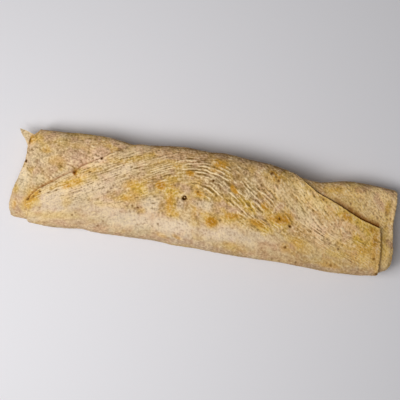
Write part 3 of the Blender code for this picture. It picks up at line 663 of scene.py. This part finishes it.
# The mesh is one grid, wrapped round the roll and closed in the middle of both ends.
bm = bmesh.new()
bmesh.ops.create_grid(bm, x_segments=around - 1, y_segments=rows - 1, size=1)
layers = {name: bm.verts.layers.float.new(name) for name in MASKS}
flow_layer = bm.verts.layers.float_vector.new("flow")
for vert in bm.verts:
    i = round((vert.co.x + 1) / 2 * (around - 1))
    j = round((vert.co.y + 1) / 2 * (rows - 1))
    vert.co = points[j, i]
    vert[flow_layer] = flow[j, i]
    for name, layer in layers.items():
        vert[layer] = MASKS[name][j, i]
bmesh.ops.remove_doubles(bm, verts=bm.verts, dist=SHEET / 10000)
bmesh.ops.holes_fill(bm, edges=[edge for edge in bm.edges if edge.is_boundary])
bmesh.ops.recalc_face_normals(bm, faces=bm.faces)
mesh = bpy.data.meshes.new("rolled_flatbread")
bm.to_mesh(mesh)
bm.free()
mesh.shade_smooth()
roll = bpy.data.objects.new("rolled_flatbread", mesh)
bpy.context.scene.collection.objects.link(roll)


def plug(tree, socket, value):
    """Links an input to another node's output, or sets it to a plain value."""
    if isinstance(value, bpy.types.NodeSocket):
        tree.links.new(value, socket)
    else:
        socket.default_value = value


def node(tree, kind, inputs=None, **settings):
    """Adds a node; inputs holds plain values or output sockets by input name or number."""
    made = tree.nodes.new(kind)
    for name, value in settings.items():
        setattr(made, name, value)
    for name, value in (inputs or {}).items():
        plug(tree, made.inputs[name], value)
    return made


def blend_colour(tree, share, first, second, how="MIX"):
    """The first colour, turned into the second by a share (inputs 0, 6 and 7 of the node)."""
    made = node(tree, "ShaderNodeMix", {0: share, 6: first, 7: second}, data_type="RGBA", blend_type=how)
    return made.outputs[2]


def math(tree, how, *values, clamp=False):
    inputs = dict(enumerate(values))
    return node(tree, "ShaderNodeMath", inputs, operation=how, use_clamp=clamp).outputs[0]


def ranged(tree, value, low, high):
    """A value as 0 at low to 1 at high."""
    inputs = {"Value": value, "From Min": low, "From Max": high}
    return node(tree, "ShaderNodeMapRange", inputs).outputs[0]


def srgb(red, green, blue):
    """A colour as the eye reads it, 0 to 255, as a shader's linear one."""
    parts = [c / 255 for c in (red, green, blue)]
    return (*[c / 12.92 if c <= 0.04045 else ((c + 0.055) / 1.055) ** 2.4 for c in parts], 1)


def attribute(tree, name):
    return node(tree, "ShaderNodeAttribute", attribute_name=name).outputs["Fac"]


def times(tree, name, strength, clamp=False):
    """One of the mesh's masks at a strength."""
    return math(tree, "MULTIPLY", attribute(tree, name), strength, clamp=clamp)


def centred(tree, texture, strength):
    """A noise texture about its middle, at a strength."""
    return math(tree, "MULTIPLY", math(tree, "SUBTRACT", texture.outputs["Fac"], 0.5), strength)


def stretched(tree, vector, along):
    """A place with its first direction drawn out."""
    return node(tree, "ShaderNodeVectorMath", {0: vector, 1: (along, 1, 1)}, operation="MULTIPLY").outputs[0]


def spots(tree, place, size, low, high, detail=2.0):
    """Mask of noise lumps of a size in metres, from 0 below low to 1 above high."""
    lumps = node(tree, "ShaderNodeTexNoise", {"Vector": place, "Scale": 1 / size, "Detail": detail})
    return ranged(tree, lumps.outputs["Fac"], low, high)


# The bread: its ground, its patches, then what shows on and between its wrinkles and at its edges.
WHEAT = srgb(218, 186, 138)
TAN = srgb(199, 159, 104)
GOLD = srgb(212, 170, 94)
PAINTED_LIGHT_CREAM = srgb(240, 206, 150)
DRY = srgb(226, 202, 168)
PINK = srgb(212, 172, 132)
FLOUR = srgb(236, 214, 186)
DULL_BREAD = srgb(208, 186, 138)
RUDDY_BREAD = srgb(202, 162, 132)
GOLDEN_TINT = srgb(255, 248, 216)
ASHEN_TINT = srgb(248, 250, 255)
OIL = srgb(220, 178, 62)
PAINTED_HIGHLIGHT_GOLD = srgb(232, 184, 104)
TOAST = srgb(217, 164, 70)
TOAST_DARK = srgb(188, 128, 24)
PAINTED_SHADE_BROWN = srgb(128, 80, 48)
PALE_AND_PAINTED_HIGHLIGHT = srgb(252, 224, 176)
VALLEY_BROWN_AND_PAINTED_SHADE = srgb(134, 102, 50)
DRY_VALLEY_AND_PAINTED_SHADE = srgb(158, 116, 76)
BRAN = srgb(116, 84, 36)
RIM = srgb(248, 206, 122)
# painted shade for the gap under the loose edge, and the burnt nick's brown
PAINTED_SHADE_AND_BURN = srgb(142, 74, 0)
CHARRED = srgb(114, 70, 8)
SCORCH = srgb(44, 24, 2)

bread = bpy.data.materials.new("toasted_wholemeal")
bread.use_nodes = True
tree = bread.node_tree
shader = tree.nodes["Principled BSDF"]
place = node(tree, "ShaderNodeTexCoord").outputs["Object"]
flowing = node(tree, "ShaderNodeAttribute", attribute_name="flow").outputs["Vector"]
drawn_out, slanting = stretched(tree, flowing, 0.3), stretched(tree, flowing, 0.55)
apart = node(tree, "ShaderNodeVectorMath", {0: place, 1: (0.3, 0.7, 0.2)}, operation="ADD").outputs[0]

colour = blend_colour(tree, spots(tree, slanting, 9 * MM, 0.36, 0.62, 0.5), WHEAT, TAN)
colour = blend_colour(tree, spots(tree, slanting, 6 * MM, 0.5, 0.68, 0.5), colour, GOLD)
# Painted light: the inner turn at the right end made paler where it catches the light.
colour = blend_colour(tree, times(tree, "painted_light_inner_end", 0.75), colour, PAINTED_LIGHT_CREAM)
colour = blend_colour(tree, attribute(tree, "pale"), colour, DRY)
colour = blend_colour(tree, spots(tree, apart, 6 * MM, 0.5, 0.66, 0.5), colour, PINK)
colour = blend_colour(tree, times(tree, "flour", 0.85), colour, FLOUR)
colour = blend_colour(tree, times(tree, "dull", 0.6), colour, DULL_BREAD)
colour = blend_colour(tree, times(tree, "ruddy", 0.85), colour, RUDDY_BREAD)
colour = blend_colour(tree, attribute(tree, "golden"), colour, GOLDEN_TINT, "MULTIPLY")
colour = blend_colour(tree, times(tree, "golden", -1.0), colour, ASHEN_TINT, "MULTIPLY")
# Lighter and darker patches, partly the bake and partly painted light and painted shade.
lightness = math(tree, "MULTIPLY_ADD", attribute(tree, "bake_tone_and_painted_light"), 0.36, 1.0)
colour = node(tree, "ShaderNodeVectorMath", {0: colour, "Scale": lightness}, operation="SCALE").outputs[0]
colour = blend_colour(tree, times(tree, "oil", 0.8), colour, OIL)
# Painted highlight along the right fold.
colour = blend_colour(tree, times(tree, "painted_fold_highlight", 0.6), colour, PAINTED_HIGHLIGHT_GOLD)

uneven = math(tree, "MULTIPLY_ADD", spots(tree, place, 2.0 * MM, 0.3, 0.65), 0.2, 0.9)
toasted = times(tree, "toast", uneven)
colour = blend_colour(tree, math(tree, "MULTIPLY", toasted, 1.35, clamp=True), colour, TOAST)
colour = blend_colour(tree, ranged(tree, toasted, 0.38, 1.1), colour, TOAST_DARK)
# Painted shade: a browner band low on the back wall, where it turns away from the lamps.
colour = blend_colour(tree, times(tree, "painted_back_shade", 0.6), colour, PAINTED_SHADE_BROWN)

# Wrinkles, pebbles and grain: pale on their tops and brown in between, partly their own colour and
# partly painted highlight on the tops and painted shade in between.
streaky = node(tree, "ShaderNodeTexNoise", {"Vector": drawn_out, "Scale": 1 / (1.0 * MM), "Detail": 1.5})
grainy = node(tree, "ShaderNodeTexNoise", {"Vector": place, "Scale": 1 / (1.15 * MM), "Detail": 2.0})
mottled = node(tree, "ShaderNodeTexNoise", {"Vector": slanting, "Scale": 1 / (3.0 * MM), "Detail": 1.0})
zone = math(tree, "MULTIPLY_ADD", attribute(tree, "creased"), 0.8, 0.45)
fine = math(tree, "ADD", centred(tree, streaky, zone), centred(tree, grainy, 1.1))
fine = math(tree, "MULTIPLY", fine, 5.4)
coarse = math(tree, "ADD", times(tree, "pebble", 0.9), times(tree, "wrinkle", zone))
coarse = math(tree, "ADD", coarse, times(tree, "lump", 0.45))
surface = math(tree, "MULTIPLY_ADD", coarse, 0.7, fine)
surface = math(tree, "ADD", surface, centred(tree, mottled, 2.4))
turns = times(tree, "crease_count", 2 * np.pi)
ridge = math(tree, "MULTIPLY_ADD", math(tree, "COSINE", turns), 0.5, 0.5)
ridge = math(tree, "SUBTRACT", math(tree, "POWER", ridge, 1.5), 0.4)
ridge = times(tree, "crease_share", ridge)
surface = math(tree, "MULTIPLY_ADD", ridge, 5.0, surface)
calm = math(tree, "MAXIMUM", times(tree, "smooth", 0.3), times(tree, "toast", 0.45))
surface = math(tree, "MULTIPLY", surface, math(tree, "SUBTRACT", 1.0, calm))
colour = blend_colour(tree, math(tree, "MULTIPLY", surface, 0.42, clamp=True), colour, PALE_AND_PAINTED_HIGHLIGHT)
plain = math(tree, "MAXIMUM", attribute(tree, "smooth"), attribute(tree, "painted_light_inner_end"))
valley_and_painted_shade = blend_colour(tree, plain, VALLEY_BROWN_AND_PAINTED_SHADE, DRY_VALLEY_AND_PAINTED_SHADE)
colour = blend_colour(tree, math(tree, "MULTIPLY", surface, -0.42, clamp=True), colour, valley_and_painted_shade)
bran = math(tree, "MULTIPLY", spots(tree, place, 1.0 * MM, 0.69, 0.73),
            spots(tree, apart, 9 * MM, 0.4, 0.6))
bran = math(tree, "MULTIPLY", bran, math(tree, "SUBTRACT", 1.0, math(tree, "MULTIPLY", plain, 0.9)))
colour = blend_colour(tree, bran, colour, BRAN)
colour = blend_colour(tree, times(tree, "rim", 0.6), colour, RIM)
# Painted shade in the gap under the loose edge and beside the right fold; the burnt nick takes the same
# brown.
colour = blend_colour(tree, attribute(tree, "gap"), colour, PAINTED_SHADE_AND_BURN)
colour = blend_colour(tree, attribute(tree, "nick"), colour, PAINTED_SHADE_AND_BURN)
colour = blend_colour(tree, times(tree, "scorch", 1.3, clamp=True), colour, CHARRED)
colour = blend_colour(tree, ranged(tree, attribute(tree, "scorch"), 0.6, 1.0), colour, SCORCH)
tree.links.new(colour, shader.inputs["Base Color"])
shader.inputs["Roughness"].default_value = 0.75
shader.inputs["Specular IOR Level"].default_value = 0.02  # dry bread has hardly any gloss
rise = math(tree, "ADD", math(tree, "MULTIPLY", fine, 0.09), math(tree, "MULTIPLY", ridge, 0.22))
bump = node(tree, "ShaderNodeBump", {"Height": rise, "Distance": MM, "Strength": 1.0})
tree.links.new(bump.outputs["Normal"], shader.inputs["Normal"])
mesh.materials.append(bread)

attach(roll, "root")
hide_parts("flatbread_wrap")


# ---- The torn ear ----
# A corner of the folded-in side that tore when the round was rolled. It is the same thin sheet and
# stands out of the left end, held between the folds at its root and curled up a little at its tip.

# Its two edges, as (along, across) in millimetres.
EAR_BACK = ((-111.3, 23.8), (-107.5, 23.1), (-104.0, 22.0), (-97.0, 21.0))
EAR_FRONT = ((-111.3, 23.7), (-109.6, 21.0), (-107.2, 17.9), (-105.3, 14.6), (-97.0, 13.0))
EAR_LEVEL = 9.9 * MM
EAR_TIP_RISE = 1.9 * MM
EAR_THICKNESS = 1.0 * MM
EAR_CURL = 0.5 * MM  # how unevenly it curls
EAR_ROOT_FOLD = -103.7 * MM  # where the ear leaves the end, creased and toasted
EAR_LOOK = {"flour": 0.9, "bake_tone_and_painted_light": 0.4, "dull": 1.0}  # it is as dry and pale as the floury patches

bm = bmesh.new()
bmesh.ops.create_grid(bm, x_segments=30, y_segments=18, size=1)
tip, root = EAR_BACK[0][0], EAR_BACK[-1][0]
for vert in bm.verts:
    out = (1 - vert.co.x) / 2
    x = mix(root, tip, out)
    front, back = curve_through(EAR_FRONT, x), curve_through(EAR_BACK, x)
    y = mix(front, back, (vert.co.y + 1) / 2)
    curl = EAR_TIP_RISE * out ** 2 + EAR_CURL * noise.noise((x / 3.2, y / 3.2, 8)) * out
    vert.co = (x * MM - middle[0], y * MM - middle[1], EAR_LEVEL + curl)
bmesh.ops.remove_doubles(bm, verts=bm.verts, dist=0.02 * MM)
bmesh.ops.recalc_face_normals(bm, faces=bm.faces)
bmesh.ops.solidify(bm, geom=bm.faces[:], thickness=EAR_THICKNESS)
bmesh.ops.recalc_face_normals(bm, faces=bm.faces)
flow_layer = bm.verts.layers.float_vector.new("flow")
layers = {name: bm.verts.layers.float.new(name) for name in ("toast", "gap", *EAR_LOOK)}
for vert in bm.verts:
    vert[flow_layer] = vert.co + Vector((0, 0, 80 * MM))
    from_fold = abs(vert.co.x + middle[0] - EAR_ROOT_FOLD) / MM
    lower = step(vert.co.y, 22.5, -3)
    # The root gets toast, and painted shade in its crease.
    look = {"toast": 0.7 * ease(1.4 - from_fold / 1.2) * lower,
            "gap": 0.8 * ease(1.3 - from_fold / 0.5) * lower, **EAR_LOOK}
    for name, value in look.items():
        vert[layers[name]] = float(value)
mesh = bpy.data.meshes.new("torn_ear")
bm.to_mesh(mesh)
bm.free()
mesh.shade_smooth()
mesh.set_sharp_from_angle(angle=0.9)
mesh.materials.append(bread)
ear = bpy.data.objects.new("torn_ear", mesh)
bpy.context.scene.collection.objects.link(ear)

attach(ear, "root")
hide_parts("flatbread_wrap")


# ---- The floor, the light and the camera ----
# A plain pale floor. Two broad soft lights from the front left, a pale room all round, and a camera
# that looks straight down, turned a little, so that the wrap lies slantwise.
FLOOR_HALF = 3.0
FLOOR_TONE, FLOOR_ROUGHNESS = (0.76, 0.745, 0.77, 1), 0.6
bm = bmesh.new()
bmesh.ops.create_grid(bm, x_segments=1, y_segments=1, size=FLOOR_HALF)
mesh = bpy.data.meshes.new("floor")
bm.to_mesh(mesh)
bm.free()
floor = bpy.data.objects.new("floor", mesh)
bpy.context.scene.collection.objects.link(floor)
pale_floor = bpy.data.materials.new("pale_floor")
pale_floor.use_nodes = True
shader = pale_floor.node_tree.nodes["Principled BSDF"]
shader.inputs["Base Color"].default_value = FLOOR_TONE
shader.inputs["Roughness"].default_value = FLOOR_ROUGHNESS
mesh.materials.append(pale_floor)

# Each light: power in watts, and its direction from the wrap's middle as azimuth and elevation.
LIGHT_AWAY, LIGHT_SIZE = 0.6, 0.3
LIGHTS = {"window": (1.95, -157, 55), "ceiling": (1.05, -128, 75)}
for name, (power, azimuth, elevation) in LIGHTS.items():
    lamp = bpy.data.lights.new(name, "AREA")
    lamp.energy = power
    lamp.size = LIGHT_SIZE
    turn, lift_up = np.radians(azimuth), np.radians(elevation)
    spot = Vector((np.cos(turn) * np.cos(lift_up), np.sin(turn) * np.cos(lift_up), np.sin(lift_up)))
    light = bpy.data.objects.new(name, lamp)
    bpy.context.scene.collection.objects.link(light)
    light.location = spot * LIGHT_AWAY
    light.rotation_euler = (-spot).to_track_quat("-Z", "Y").to_euler()

ROOM_TONE, ROOM_STRENGTH = (0.96, 0.98, 1.0, 1), 0.165
room = bpy.data.worlds.new("room")
bpy.context.scene.world = room
room.use_nodes = True
background = room.node_tree.nodes["Background"]
background.inputs["Color"].default_value = ROOM_TONE
background.inputs["Strength"].default_value = ROOM_STRENGTH

LENS, FILM = 110.0, 36.0  # focal length and width of the film, in millimetres
TURN = np.radians(9.66)  # how far the wrap lies slantwise
lens = bpy.data.cameras.new("overhead")
lens.lens = LENS
lens.sensor_width = FILM
camera = bpy.data.objects.new("overhead", lens)
bpy.context.scene.collection.objects.link(camera)
camera.location = EYE
camera.rotation_euler = (0, 0, TURN)
bpy.context.scene.camera = camera
bpy.context.scene.view_settings.view_transform = "Standard"
